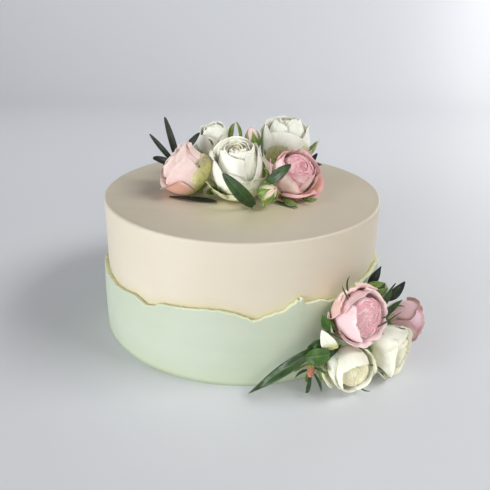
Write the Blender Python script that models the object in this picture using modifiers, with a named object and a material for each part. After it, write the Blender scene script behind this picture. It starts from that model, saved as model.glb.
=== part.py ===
"""A round celebration cake with smooth cream, a wavy second coat round its lower half,
and fresh spray roses with leaves in two bunches: one on top and one low at the side.

Metres, +Z up. The origin is the centre of the cake's underside. The bunch at the side
lies towards +X and -Y, which is the cake's front.
"""

import math
import random
from collections import namedtuple

import bmesh
import bpy
from mathutils import Vector
from mathutils.bvhtree import BVHTree

# The cake, a turned solid that widens a little towards its foot.
CAKE_HEIGHT = 0.101
CAKE_TOP_RADIUS = 0.1035
CAKE_FOOT_RADIUS = 0.105
TOP_EDGE_ROUND = 0.0014
EDGE_POINTS = 3
TURN_STEPS = 90

# The second coat of cream. It stands proud of the cake, and its torn rim rises and falls.
BAND_RADIUS = 0.1087
BAND_LIP_INSET = 0.0007
BAND_LIP_WIDTH = 0.0011
BAND_LIP_DEPTH = 0.0016
BAND_LIP_FALL = 0.4
# Azimuth in degrees, with -90 at the front, and the rim's height there.
BAND_RIM = (
    (-180, 0.0480), (-165, 0.0500), (-149, 0.0487), (-139, 0.0493), (-132, 0.0511), (-126, 0.0486),
    (-117, 0.0530), (-106, 0.0552), (-99, 0.0560), (-93, 0.0546), (-88, 0.0517), (-85, 0.0496),
    (-81, 0.0517), (-76, 0.0545), (-71, 0.0590), (-69, 0.0612), (-67, 0.0583), (-62, 0.0584),
    (-56, 0.0545), (-45, 0.0545), (-36, 0.0580), (-24, 0.0600), (-12, 0.0530), (0, 0.0516),
    (18, 0.0550), (34, 0.0500), (52, 0.0535), (71, 0.0580), (88, 0.0530), (101, 0.0490),
    (118, 0.0540), (137, 0.0565), (153, 0.0510), (167, 0.0500),
)

# Air kept between neighbours, and how far flowers and leaves stay from the cream.
GAP = 0.0003
LEAF_CLEARANCE = 0.0008
BLOOM_CLEARANCE = 0.0024

PETAL_THICKNESS = 0.0010
PETAL_COLUMNS = 4
PETAL_ROWS = 4
# A petal's middle line is a curve with four control points. These are the distances of the
# first three from the axis and the height of the third, as shares of the petal's.
CUP_REACHES = (0.12, 1.14, 1.12)
CUP_SHOULDER = 0.72
PETAL_START = 0.22
PETAL_ROUNDING = 0.20
PETAL_TUCK = 0.05
LIP_WAVE = 0.02

SEPALS = 5
SEPAL_START = 15.0
SEPAL_ROWS = 3
SEPAL_THICKNESS = 0.0009
SEPAL_WIDTH = 0.13
SEPAL_STANDOFF = 0.09

LEAF_THICKNESS = 0.0007
LEAF_SEGMENTS = 5
LEAF_FOLD = 0.16
LEAF_WAVE = 0.05
LEAST_HALF_WIDTH = 0.0003

CORE_SIDES = 11
BUD_RIBS = 5
BUD_RIB_DEPTH = 0.05
STEM_RADIUS = 0.0013
STEM_SIDES = 6
STEM_INSET = 0.42
STALK_RADIUS = 0.0006
STALK_SIDES = 5
STALK_INSET = 0.06

# The fewest triangles that a fused rose or bud is thinned to.
ROSE_TRIANGLES = 840
BUD_TRIANGLES = 280
THINNING_STEP = 20

# Petals in a ring: how many, the first one's azimuth, then the radius, the lip's distance from
# the axis and the lip's height as shares of the bloom's, half the width in degrees, and the curl.
Ring = namedtuple("Ring", "count start radius lip top half curl")
# sepal_lift is how far up the bloom the sepals reach, and relief how deep its middle steps round.
Kind = namedtuple("Kind", "rings core core_height relief sepal_lift")
# heart is the middle of the bloom, axis is where it faces, and extra holds its own added petals.
Flower = namedtuple("Flower", "name kind heart axis radius height where colour extra")
# facing is the side that the blade shows, and arch its bow as a share of its length.
Leaf = namedtuple("Leaf", "name base tip width arch facing where colour stalk")

# A core's rings from base to tip: distance from the axis and height, as shares of the bloom's.
ROSE_CORE = (
    (0.00, -0.03), (0.62, 0.02), (0.80, 0.17), (0.76, 0.45), (0.62, 0.75), (0.34, 1.00), (0.00, 0.96),
)
BUD_CORE = (
    (0.00, -0.04), (0.55, 0.03), (0.92, 0.24), (0.98, 0.48), (0.76, 0.74), (0.36, 0.93), (0.00, 1.00),
)

GOBLET = Kind(
    rings=(
        Ring(3, 40, 1.00, 1.00, 0.90, 58, 0.05),
        Ring(3, 100, 0.85, 0.80, 1.00, 58, 0.02),
        Ring(3, 60, 0.68, 0.56, 0.97, 54, 0.00),
    ),
    core=ROSE_CORE, core_height=0.74, relief=0.06, sepal_lift=0.16,
)
DOME = Kind(
    rings=(Ring(3, 20, 1.00, 0.88, 0.88, 60, 0.03), Ring(3, 80, 0.86, 0.62, 1.00, 60, 0.00)),
    core=ROSE_CORE, core_height=0.93, relief=0.08, sepal_lift=0.20,
)
GLOBE = Kind(
    rings=(Ring(4, 20, 1.00, 0.98, 0.78, 50, 0.08), Ring(4, 65, 0.86, 0.74, 0.95, 50, 0.00)),
    core=ROSE_CORE, core_height=0.95, relief=0.10, sepal_lift=0.20,
)
HALF_OPEN = Kind(
    rings=(Ring(3, 0, 1.00, 0.92, 0.84, 60, 0.06), Ring(3, 60, 0.86, 0.56, 1.00, 60, 0.00)),
    core=ROSE_CORE, core_height=0.93, relief=0.08, sepal_lift=0.22,
)
BUD = Kind(rings=(), core=BUD_CORE, core_height=1.00, relief=0.0, sepal_lift=1.0)

CREAM = (0.80, 0.71, 0.60)
BAND_CREAM = (0.62, 0.71, 0.54)
WHITE = (0.86, 0.85, 0.76)
PINK = (0.86, 0.62, 0.62)
GREEN = (0.10, 0.18, 0.04)
DARK_GREEN = (0.02, 0.05, 0.02)
BUD_GREEN = (0.22, 0.32, 0.09)

FLOWERS = (
    Flower("pink_rose_top_left", HALF_OPEN, (-0.0418, -0.0115, 0.1180), (-0.80, 0.00, 0.60),
           0.0162, 0.032, "top", PINK, (Ring(1, 215, 1.02, 1.26, 0.72, 46, 0.05),)),
    Flower("white_rose_top_back", DOME, (-0.0224, 0.0300, 0.1280), (-0.20, -0.10, 0.97),
           0.0148, 0.032, "top", WHITE, ()),
    Flower("white_rose_top_front", GOBLET, (-0.0035, -0.0185, 0.1222), (-0.03, -0.34, 0.94),
           0.0186, 0.037, "top", WHITE,
           (Ring(1, 318, 1.10, 1.20, 0.38, 36, 0.06), Ring(1, 40, 1.08, 0.98, 0.50, 42, 0.04))),
    Flower("white_rose_top_right", DOME, (0.0332, 0.0320, 0.1306), (0.02, -0.05, 1.00),
           0.0198, 0.036, "top", WHITE,
           (Ring(1, 15, 1.08, 1.12, 0.40, 32, 0.03), Ring(1, 95, 1.08, 1.26, 0.48, 28, 0.03))),
    Flower("pink_rose_top_right", GLOBE, (0.0367, -0.0180, 0.1184), (0.66, -0.58, 0.47),
           0.0164, 0.028, "top", PINK,
           (Ring(1, 60, 1.10, 1.34, 0.64, 40, 0.05), Ring(1, 235, 1.10, 1.34, 0.62, 44, 0.05))),
    Flower("pink_bud_top", BUD, (0.0066, 0.0240, 0.1345), (-0.15, 0.0, 1.00),
           0.0062, 0.018, "top", PINK, ()),
    Flower("green_bud_top", BUD, (0.0182, -0.0434, 0.1135), (0.53, -0.62, 0.58),
           0.0074, 0.014, "top", BUD_GREEN, ()),
    Flower("pink_rose_side", GLOBE, (0.0756, -0.0990, 0.0503), (0.79, -0.59, 0.16),
           0.0161, 0.028, "side", PINK,
           (Ring(1, 10, 1.12, 1.18, 0.64, 38, 0.04), Ring(1, 110, 1.12, 1.08, 0.46, 32, 0.04))),
    Flower("white_rose_side", GLOBE, (0.0716, -0.1080, 0.0171), (0.28, -0.95, 0.10),
           0.0140, 0.024, "side", WHITE, (Ring(1, 122, 1.08, 1.14, 0.55, 30, 0.05),)),
    Flower("white_rose_side_right", DOME, (0.1016, -0.0880, 0.0176), (0.83, -0.56, -0.03),
           0.0160, 0.027, "side", WHITE, (Ring(1, 150, 1.03, 1.12, 0.80, 40, 0.05),)),
    Flower("pink_rose_side_right", HALF_OPEN, (0.1190, -0.0600, 0.0245), (0.97, -0.20, 0.03),
           0.0128, 0.026, "side", PINK, ()),
    Flower("small_bud_side", BUD, (0.0461, -0.1130, 0.0141), (-0.25, -0.88, -0.32),
           0.0058, 0.014, "side", BUD_GREEN, ()),
    Flower("green_bud_side", BUD, (0.0912, -0.0755, 0.0551), (0.76, -0.10, 0.52),
           0.0068, 0.018, "side", BUD_GREEN, ()),
)

LEAVES = (
    Leaf("leaf_top_tall", (-0.0500, 0.0080, 0.1190), (-0.0590, 0.0095, 0.1528), 0.0050, 0.10,
         (0.2, -1.0, 0.2), "top", DARK_GREEN, True),
    Leaf("leaf_top_slim", (-0.0525, 0.0075, 0.1180), (-0.0709, 0.0090, 0.1400), 0.0038, 0.08,
         (0.1, -1.0, 0.3), "top", DARK_GREEN, True),
    Leaf("leaf_top_left", (-0.0530, 0.0130, 0.1120), (-0.0691, 0.0075, 0.1220), 0.0080, 0.10,
         (0.1, -0.6, 0.9), "top", DARK_GREEN, True),
    Leaf("leaf_top_back_left", (-0.0470, 0.0100, 0.1240), (-0.0333, 0.0110, 0.1412), 0.0048, 0.05,
         (-0.2, -1.0, 0.3), "top", DARK_GREEN, True),
    Leaf("leaf_top_front", (0.0080, -0.0440, 0.1035), (-0.0130, -0.0490, 0.1278), 0.0094, 0.16,
         (-0.1, -1.0, 0.35), "top", GREEN, True),
    Leaf("leaf_top_front_right", (0.0180, -0.0450, 0.1209), (0.0320, -0.0475, 0.1342), 0.0072, 0.10,
         (-0.2, -1.0, 0.35), "top", GREEN, False),
    Leaf("leaf_top_low_left", (-0.0180, -0.0330, 0.1020), (-0.0535, -0.0240, 0.1020), 0.0080, 0.00,
         (0.0, -0.2, 1.0), "top", GREEN, False),
    Leaf("leaf_top_low_right", (0.0235, -0.0300, 0.1020), (0.0389, -0.0424, 0.1020), 0.0038, 0.00,
         (0.0, -0.2, 1.0), "top", GREEN, False),
    Leaf("leaf_top_right", (0.0480, 0.0060, 0.1150), (0.0566, 0.0100, 0.1272), 0.0046, 0.06,
         (-0.3, -1.0, 0.4), "top", DARK_GREEN, True),
    Leaf("leaf_top_back_right", (0.0420, 0.0420, 0.1040), (0.0660, 0.0460, 0.1080), 0.0100, 0.10,
         (0.1, -0.4, 0.9), "top", GREEN, True),
    Leaf("leaf_top_back", (0.0020, 0.0330, 0.1040), (0.0060, 0.0620, 0.1060), 0.0100, 0.12,
         (0.0, -0.3, 1.0), "top", GREEN, True),
    Leaf("leaf_side_long", (0.0515, -0.1150, 0.0390), (0.0067, -0.1190, 0.0025), 0.0085, 0.04,
         (-0.25, -1.0, 0.55), "side", GREEN, True),
    Leaf("leaf_side_round", (0.0565, -0.1190, 0.0340), (0.0410, -0.1200, 0.0318), 0.0110, 0.06,
         (-0.1, -1.0, 0.25), "side", GREEN, True),
    Leaf("leaf_side_rear", (0.0914, -0.0640, 0.0592), (0.0966, -0.0625, 0.0677), 0.0062, 0.08,
         (-0.1, -1.0, 0.2), "side", DARK_GREEN, True),
    Leaf("leaf_side_right", (0.0990, -0.0740, 0.0470), (0.1121, -0.0700, 0.0600), 0.0074, 0.10,
         (0.2, -1.0, 0.3), "side", DARK_GREEN, True),
    Leaf("leaf_side_between", (0.0788, -0.0915, 0.0278), (0.0878, -0.0980, 0.0212), 0.0050, 0.06,
         (0.2, -0.9, 0.6), "side", GREEN, True),
    Leaf("leaf_side_left", (0.0603, -0.1032, 0.0400), (0.0518, -0.1070, 0.0549), 0.0080, 0.06,
         (-0.5, -1.0, 0.2), "side", GREEN, True),
    Leaf("petal_scrap_side", (0.0602, -0.1142, 0.0348), (0.0509, -0.1150, 0.0490), 0.0095, 0.22,
         (-0.3, -1.0, 0.2), "side", WHITE, True),
)


def clear_scene():
    for obj in list(bpy.data.objects):
        bpy.data.objects.remove(obj)


def new_collection(name):
    collection = bpy.data.collections.new(name)
    bpy.context.scene.collection.children.link(collection)
    return collection


def finish(name, colour, roughness):
    """A Principled material of one colour."""
    material = bpy.data.materials.new(name)
    material.use_nodes = True
    shader = material.node_tree.nodes["Principled BSDF"]
    shader.inputs["Base Color"].default_value = (*colour, 1.0)
    shader.inputs["Roughness"].default_value = roughness
    shader.inputs["Metallic"].default_value = 0.0
    return material


def add_mesh(name, collection, verts, faces, edges=()):
    mesh = bpy.data.meshes.new(name)
    mesh.from_pydata([tuple(v) for v in verts], edges, faces)
    mesh.update()
    obj = bpy.data.objects.new(name, mesh)
    collection.objects.link(obj)
    return obj


def add_bmesh(name, collection, bm):
    mesh = bpy.data.meshes.new(name)
    bm.to_mesh(mesh)
    bm.free()
    obj = bpy.data.objects.new(name, mesh)
    collection.objects.link(obj)
    return obj


def modified(obj):
    """The object's mesh with its modifiers applied. The modifiers themselves are removed."""
    bpy.context.view_layer.update()
    graph = bpy.context.evaluated_depsgraph_get()
    mesh = bpy.data.meshes.new_from_object(obj.evaluated_get(graph))
    obj.modifiers.clear()
    return mesh


def shade_round(mesh):
    mesh.shade_smooth()
    mesh.set_sharp_from_angle(angle=math.radians(30.0))


def mix(a, b, share):
    return a + (b - a) * share


def ease(share):
    """0 to 1 with a soft start and end."""
    share = min(max(share, 0.0), 1.0)
    return share * share * (3.0 - 2.0 * share)


# The cake and its second coat

def add_cake(collection):
    """A turned profile: flat top, a small round at the edge, and a side that widens downwards."""
    corner = Vector((CAKE_TOP_RADIUS - TOP_EDGE_ROUND, 0.0, CAKE_HEIGHT - TOP_EDGE_ROUND))
    points = [Vector((0.0, 0.0, CAKE_HEIGHT))]
    for i in range(EDGE_POINTS):
        angle = math.radians(90.0 * (1.0 - i / (EDGE_POINTS - 1)))
        points.append(corner + TOP_EDGE_ROUND * Vector((math.cos(angle), 0.0, math.sin(angle))))
    points.append(Vector((CAKE_FOOT_RADIUS, 0.0, 0.0)))
    points.append(Vector((0.0, 0.0, 0.0)))
    edges = [(i, i + 1) for i in range(len(points) - 1)]
    cake = add_mesh("cake", collection, points, [], edges)
    turn = cake.modifiers.new("turn", "SCREW")
    turn.steps = TURN_STEPS
    turn.render_steps = TURN_STEPS
    turn.use_merge_vertices = True
    turn.merge_threshold = 0.0001
    cake.data = modified(cake)
    shade_round(cake.data)
    cake.data.materials.append(finish("cream", CREAM, 0.55))


def rim_height(azimuth):
    """The band's height at an azimuth in degrees, read smoothly between BAND_RIM's points."""
    knots = BAND_RIM + ((BAND_RIM[0][0] + 360, BAND_RIM[0][1]),)
    for (start, low), (end, high) in zip(knots, knots[1:]):
        if start <= azimuth <= end:
            return mix(low, high, ease((azimuth - start) / (end - start)))
    return knots[0][1]


def add_band(collection):
    """A ring round the cake. Its section is a wall with a narrow lip that falls away inwards."""
    verts = []
    foot = CAKE_FOOT_RADIUS + GAP
    slope = (CAKE_FOOT_RADIUS - CAKE_TOP_RADIUS) / CAKE_HEIGHT
    lip = BAND_RADIUS - BAND_LIP_INSET
    for step in range(TURN_STEPS):
        turn = 2.0 * math.pi * step / TURN_STEPS - math.pi
        rim = rim_height(math.degrees(turn))
        back = rim - BAND_LIP_DEPTH
        section = (
            (foot, 0.0),
            (BAND_RADIUS, 0.0),
            (BAND_RADIUS, rim - BAND_LIP_INSET),
            (lip, rim),
            (lip - BAND_LIP_WIDTH, mix(rim, back, BAND_LIP_FALL)),
            (foot - slope * back, back),
        )
        verts += [Vector((r * math.cos(turn), r * math.sin(turn), z)) for r, z in section]
    size = len(section)
    faces = []
    for step in range(TURN_STEPS):
        here = step * size
        there = (step + 1) % TURN_STEPS * size
        for k in range(size):
            after = (k + 1) % size
            faces.append((here + k, there + k, there + after, here + after))
    band = add_mesh("cream_band", collection, verts, faces)
    shade_round(band.data)
    band.data.materials.append(finish("band_cream", BAND_CREAM, 0.55))


# Flowers: petals, sepals and a stem fused to a core

def local_axes(axis):
    """Where a bloom faces, and two directions square to that: first up, or front if it stands."""
    axis = Vector(axis).normalized()
    guide = Vector((0.0, 0.0, 1.0)) if abs(axis.z) < 0.9 else Vector((0.0, -1.0, 0.0))
    first = (guide - axis * guide.dot(axis)).normalized()
    return axis, first, axis.cross(first)


def kept_clear(point, where, clearance):
    """The point, pushed out of the cake, the band and what the cake stands on."""
    if where == "top":
        point.z = max(point.z, CAKE_HEIGHT + clearance)
        return point
    point.z = max(point.z, clearance)
    reach = math.hypot(point.x, point.y)
    least = BAND_RADIUS + clearance
    if reach < least:
        point.x *= least / reach
        point.y *= least / reach
    return point


def cup(share, radius, height, lip, top):
    """A petal's middle line: out from the base, up round the belly and on to the lip."""
    back = 1.0 - share
    weights = (back ** 3, 3 * share * back ** 2, 3 * share ** 2 * back, share ** 3)
    reach = radius * sum(w * r for w, r in zip(weights, (*CUP_REACHES, lip)))
    rise = height * top * (weights[2] * CUP_SHOULDER + weights[3])
    return reach, rise


def placed(flower, turn, reach, rise):
    """The world point at an azimuth, a distance from the axis and a height over the base."""
    axis, first, second = local_axes(flower.axis)
    base = Vector(flower.heart) - axis * (0.5 * flower.height)
    point = base + axis * rise + (first * math.cos(turn) + second * math.sin(turn)) * reach
    return kept_clear(point, flower.where, BLOOM_CLEARANCE)


def petal_rows(flower, ring, number, rng):
    """Rows of points from the petal's base to its rounded, slightly curled lip."""
    azimuth = math.radians(ring.start + 360.0 * number / ring.count)
    half = math.radians(ring.half)
    wave = rng.uniform(0.0, 2.0 * math.pi)
    rows = []
    for j in range(PETAL_ROWS):
        up = mix(PETAL_START, 1.0, j / (PETAL_ROWS - 1))
        row = []
        for i in range(PETAL_COLUMNS):
            across = 2.0 * i / (PETAL_COLUMNS - 1) - 1.0
            share = up * (1.0 - PETAL_ROUNDING * abs(across) ** 2.4 * up)
            reach, rise = cup(share, ring.radius * flower.radius, flower.height, ring.lip, ring.top)
            rolled = ease((share - 0.72) / 0.28)
            lip = ring.curl + LIP_WAVE * math.sin(3.0 * across + wave)
            reach += flower.radius * (lip * rolled + PETAL_TUCK * across * share)
            turn = azimuth + across * half * (0.72 + 0.28 * ease(share / 0.6))
            row.append(placed(flower, turn, reach, rise))
        rows.append(row)
    return rows


def sepal_rows(flower, number, lift):
    """A narrow pointed strip that starts under the petals and follows them upwards."""
    azimuth = math.radians(SEPAL_START + 360.0 * number / SEPALS)
    rows = []
    for j in range(SEPAL_ROWS):
        share = j / (SEPAL_ROWS - 1)
        along = 0.10 + 0.375 * share * (1.0 + lift)
        reach, rise = cup(along, flower.radius, flower.height, 0.9, 1.0)
        reach += SEPAL_STANDOFF * flower.radius * share ** 0.5
        half = SEPAL_WIDTH * flower.radius * (1.0 - share) ** 0.7 + LEAST_HALF_WIDTH
        turns = (azimuth - half / reach, azimuth + half / reach)
        rows.append([placed(flower, turn, reach, rise - 0.0006) for turn in turns])
    return rows


def add_sheet(name, collection, rows, thickness):
    """A grid of points given a thickness. Every cell splits the same way."""
    width = len(rows[0])
    faces = []
    for j in range(len(rows) - 1):
        for i in range(width - 1):
            a = j * width + i
            faces.append((a, a + 1, a + width + 1))
            faces.append((a, a + width + 1, a + width))
    sheet = add_mesh(name, collection, [point for row in rows for point in row], faces)
    solid = sheet.modifiers.new("thickness", "SOLIDIFY")
    solid.thickness = thickness
    solid.offset = 0.0
    return sheet


def add_core(flower, collection):
    """The bloom's filled middle: an egg whose top steps round in a spiral, or a ribbed bud."""
    kind = flower.kind
    last = len(kind.core) - 1
    bm = bmesh.new()
    bmesh.ops.create_uvsphere(bm, u_segments=CORE_SIDES, v_segments=last, radius=1.0)
    for vert in bm.verts:
        polar = math.acos(max(-1.0, min(1.0, -vert.co.z)))
        reach, rise = kind.core[round(polar / math.pi * last)]
        turn = math.atan2(vert.co.y, vert.co.x)
        step = (turn / (2.0 * math.pi) + 1.5 * reach) % 1.0
        rise = rise * kind.core_height - kind.relief * step * ease((rise - 0.6) / 0.3)
        if not kind.rings:
            reach *= 1.0 - BUD_RIB_DEPTH * math.cos(BUD_RIBS * turn)
        vert.co = placed(flower, turn, reach * flower.radius, rise * flower.height)
    return add_bmesh(flower.name, collection, bm)


def stem_foot(start, where):
    """Where a stem meets the cream: straight below on top, and straight inwards at the side."""
    if where == "top":
        return Vector((start.x, start.y, CAKE_HEIGHT + GAP))
    share = (BAND_RADIUS + GAP) / math.hypot(start.x, start.y)
    return Vector((start.x * share, start.y * share, start.z))


def add_stem(name, collection, start, where, radius, sides):
    """A stalk that thickens from the cream towards the bloom or leaf it carries."""
    foot = stem_foot(start, where)
    run = start - foot
    bm = bmesh.new()
    bmesh.ops.create_cone(bm, cap_ends=True, segments=sides, radius1=radius,
                          radius2=1.5 * radius, depth=run.length)
    stem = add_bmesh(name, collection, bm)
    stem.location = (start + foot) / 2.0
    stem.rotation_mode = "QUATERNION"
    stem.rotation_quaternion = run.to_track_quat("Z", "Y")


def island_of(start):
    """The faces that can be reached from a face across shared edges."""
    island = {start}
    queue = [start]
    while queue:
        for edge in queue.pop().edges:
            fresh = [face for face in edge.link_faces if face not in island]
            island.update(fresh)
            queue += fresh
    return island


def keep_largest_body(mesh):
    """Drops loose scraps and the skins of sealed hollows, which are islands of their own."""
    bm = bmesh.new()
    bm.from_mesh(mesh)
    bmesh.ops.remove_doubles(bm, verts=bm.verts, dist=1e-6)
    unseen = set(bm.faces)
    islands = []
    while unseen:
        islands.append(island_of(next(face for face in bm.faces if face in unseen)))
        unseen -= islands[-1]
    largest = max(islands, key=lambda faces: sum(face.calc_area() for face in faces))
    bmesh.ops.delete(bm, geom=[face for face in bm.faces if face not in largest], context="FACES")
    bmesh.ops.triangulate(bm, faces=bm.faces)
    bm.to_mesh(mesh)
    bm.free()


def fuse(obj, pieces):
    """Joins a collection of pieces to obj with one Boolean union, and removes them."""
    union = obj.modifiers.new("union", "BOOLEAN")
    union.operation = "UNION"
    union.solver = "MANIFOLD"
    union.operand_type = "COLLECTION"
    union.collection = pieces
    obj.data = modified(obj)
    for piece in list(pieces.objects):
        bpy.data.objects.remove(piece)
    bpy.data.collections.remove(pieces)
    keep_largest_body(obj.data)


def crosses_itself(mesh):
    """Whether any two triangles meet that share no corner."""
    bm = bmesh.new()
    bm.from_mesh(mesh)
    tree = BVHTree.FromBMesh(bm)
    corners = [set(face.verts) for face in bm.faces]
    crossed = any(a < b and not corners[a] & corners[b] for a, b in tree.overlap(tree))
    bm.free()
    return crossed


def thin_out(obj, fewest):
    """Merges the smallest triangles, down to the lowest count that leaves the skin uncrossed."""
    full = len(obj.data.polygons)
    for count in range(fewest, full, THINNING_STEP):
        collapse = obj.modifiers.new("collapse", "DECIMATE")
        collapse.ratio = count / full
        mesh = modified(obj)
        if not crosses_itself(mesh):
            obj.data = mesh
            return


def add_flower(flower, collection):
    rng = random.Random(flower.name)
    core = add_core(flower, collection)
    pieces = new_collection(flower.name + "_pieces")
    for k, ring in enumerate(flower.kind.rings + flower.extra):
        for number in range(ring.count):
            rows = petal_rows(flower, ring, number, rng)
            add_sheet(f"{flower.name}_petal_{k}_{number}", pieces, rows, PETAL_THICKNESS)
    for number in range(SEPALS):
        rows = sepal_rows(flower, number, flower.kind.sepal_lift)
        add_sheet(f"{flower.name}_sepal_{number}", pieces, rows, SEPAL_THICKNESS)
    axis = local_axes(flower.axis)[0]
    start = Vector(flower.heart) - axis * (STEM_INSET * flower.height)
    add_stem(flower.name + "_stem", pieces, start, flower.where, STEM_RADIUS, STEM_SIDES)
    fuse(core, pieces)
    thin_out(core, ROSE_TRIANGLES if flower.kind.rings else BUD_TRIANGLES)
    core.data.name = flower.name
    core.data.materials.clear()
    core.data.materials.append(finish(flower.name, flower.colour, 0.5))


# Leaves

def leaf_rows(leaf):
    """Rows of three points across a pointed blade, folded along its middle, with a wavy edge."""
    base = Vector(leaf.base)
    run = Vector(leaf.tip) - base
    along = run.normalized()
    facing = Vector(leaf.facing)
    facing = (facing - along * facing.dot(along)).normalized()
    side = along.cross(facing)
    rows = []
    for j in range(LEAF_SEGMENTS + 1):
        share = j / LEAF_SEGMENTS
        bow = leaf.arch * run.length * math.sin(math.pi * share)
        taper = math.sin(math.pi * min(0.06 + 0.93 * share, 0.99) ** 0.85)
        half = 0.5 * leaf.width * taper + LEAST_HALF_WIDTH
        wave = LEAF_WAVE * leaf.width * math.sin(2.5 * math.pi * share)
        row = []
        for across in (-1.0, 0.0, 1.0):
            lift = bow + LEAF_FOLD * half * abs(across) + wave * across
            point = base + run * share + side * (half * across) + facing * lift
            row.append(kept_clear(point, leaf.where, LEAF_CLEARANCE))
        rows.append(row)
    return rows


def add_leaf(leaf, collection):
    """A blade and, where it has one, the stalk that holds it to the cake."""
    blade = add_sheet(leaf.name, collection, leaf_rows(leaf), LEAF_THICKNESS)
    if leaf.stalk:
        pieces = new_collection(leaf.name + "_pieces")
        start = Vector(leaf.base).lerp(Vector(leaf.tip), STALK_INSET)
        add_stem(leaf.name + "_stalk", pieces, start, leaf.where, STALK_RADIUS, STALK_SIDES)
        fuse(blade, pieces)
    blade.data.name = leaf.name
    blade.data.materials.append(finish(leaf.name, leaf.colour, 0.4))


def build():
    clear_scene()
    collection = new_collection("celebration_cake")
    add_cake(collection)
    add_band(collection)
    for flower in FLOWERS:
        add_flower(flower, collection)
    for leaf in LEAVES:
        add_leaf(leaf, collection)


build()
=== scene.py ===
"""The finished look of a round celebration cake with two bunches of fresh roses.

Metres, +Z up, the origin at the centre of the cake's underside, the cake's front towards -Y.
"""

import math
import random
from collections import namedtuple

import bpy
import numpy as np
from mathutils import Matrix, Vector


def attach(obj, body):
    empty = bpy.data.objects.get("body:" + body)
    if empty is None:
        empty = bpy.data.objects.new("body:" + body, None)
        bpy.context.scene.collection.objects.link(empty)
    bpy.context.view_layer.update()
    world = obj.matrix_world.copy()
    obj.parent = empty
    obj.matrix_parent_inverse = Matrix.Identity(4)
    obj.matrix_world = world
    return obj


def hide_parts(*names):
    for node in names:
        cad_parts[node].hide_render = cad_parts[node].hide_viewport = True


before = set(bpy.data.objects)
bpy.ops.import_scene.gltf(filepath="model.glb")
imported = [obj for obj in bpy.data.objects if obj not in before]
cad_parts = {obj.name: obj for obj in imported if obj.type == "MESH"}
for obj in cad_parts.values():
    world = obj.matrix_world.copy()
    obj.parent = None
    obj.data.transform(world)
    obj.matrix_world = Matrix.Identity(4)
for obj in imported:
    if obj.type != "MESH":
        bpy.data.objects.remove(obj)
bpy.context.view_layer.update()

TAU = 2.0 * math.pi

# The camera that sees the cake as the photograph does.
CAMERA_PLACE = Vector((0.00246, -0.40239, 0.23559))
CAMERA_ELEVATION = 0.42475
CAMERA_ROLL = 0.01747
CAMERA_LENS = 40.391
CAMERA_SENSOR = 36.0

# The cake and its second coat, as in the CAD.
CAKE_HEIGHT = 0.101
CAKE_TOP_RADIUS = 0.1035
CAKE_FOOT_RADIUS = 0.105
TOP_EDGE_ROUND = 0.0014
POLE_RADIUS = 0.0004
CAKE_STEPS, BAND_STEPS = 540, 1260
BAND_RADIUS = 0.1087
GAP = 0.0003
# Points on the band's torn rim: azimuth in degrees and height in mm.
BAND_RIM = (
    (-180, 48), (-165, 50), (-149, 48.7), (-139, 49.3), (-132, 51.1), (-126, 48.6),
    (-117, 53), (-106, 55.2), (-99, 56), (-93, 54.6), (-88, 51.7), (-85, 49.6),
    (-81, 51.7), (-76, 54.5), (-71, 59), (-69, 61.2), (-67, 58.3), (-62, 58.4),
    (-56, 54.5), (-45, 54.5), (-36, 58), (-24, 60), (-12, 53), (0, 51.6),
    (18, 55), (34, 50), (52, 53.5), (71, 58), (88, 53), (101, 49),
    (118, 54), (137, 56.5), (153, 51), (167, 50),
)

# A pale two-lobed tip that stands up from the rim: azimuth and height in metres of each lobe.
TORN_TIP = ((-70.2, 0.0021), (-68.3, 0.0026))

# How far the flowers' parts stay off the cake.
LEAF_CLEARANCE = 0.0008
BLOOM_CLEARANCE = 0.0016
SEPAL_CLEARANCE = 0.0006

# A petal's middle line: distances from the axis and a shoulder height, as shares of the petal's.
CUP_REACHES = (0.12, 1.14, 1.12)
CUP_SHOULDER = 0.72
PETAL_START = 0.04

# Thicknesses, how much thinner a sheet's edge is, and the radii of the stalks.
PETAL_THICKNESS = 0.0003
LEAF_THICKNESS = 0.0004
SPRIG_THICKNESS = 0.0003
EDGE_SHARE = 0.35
ROSE_STALK, BUD_STALK, LEAF_STALK = 0.0013, 0.0011, 0.0004
MM = 0.001
FLOOR_BEND = 0.8


def mix(a, b, share):
    return a + (b - a) * share


def ease(share):
    """0 to 1 with a soft start and end."""
    share = np.clip(share, 0, 1)
    return share * share * (3.0 - 2.0 * share)


def metres(row, *fields):
    """A table's row, with the fields that are in millimetres turned into metres."""
    return row._replace(**{name: MM * np.asarray(getattr(row, name)) for name in fields})


def grid(rows, cols):
    """How far up and across each point of a sheet is: 0 to 1 and -1 to 1."""
    return np.linspace(0, 1, rows)[:, None], np.linspace(-1, 1, cols)[None, :]


def unit(vectors):
    return vectors / np.maximum(np.linalg.norm(vectors, axis=-1, keepdims=True), 1e-12)


def ripple(rng, waves, *places):
    """A smooth random value, about -1 to 1, for arrays of places."""
    total = 0.0
    for wave in range(1, waves + 1):
        phase = rng.uniform(0, TAU)
        for place in places:
            phase = phase + place * wave * rng.uniform(0.7, 1.4)
        total = total + np.sin(phase) / wave ** 0.8
    return total / math.log(waves + 1.8)


def linked(name, data):
    """A new object of the scene."""
    obj = bpy.data.objects.new(name, data)
    bpy.context.scene.collection.objects.link(obj)
    return obj


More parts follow.
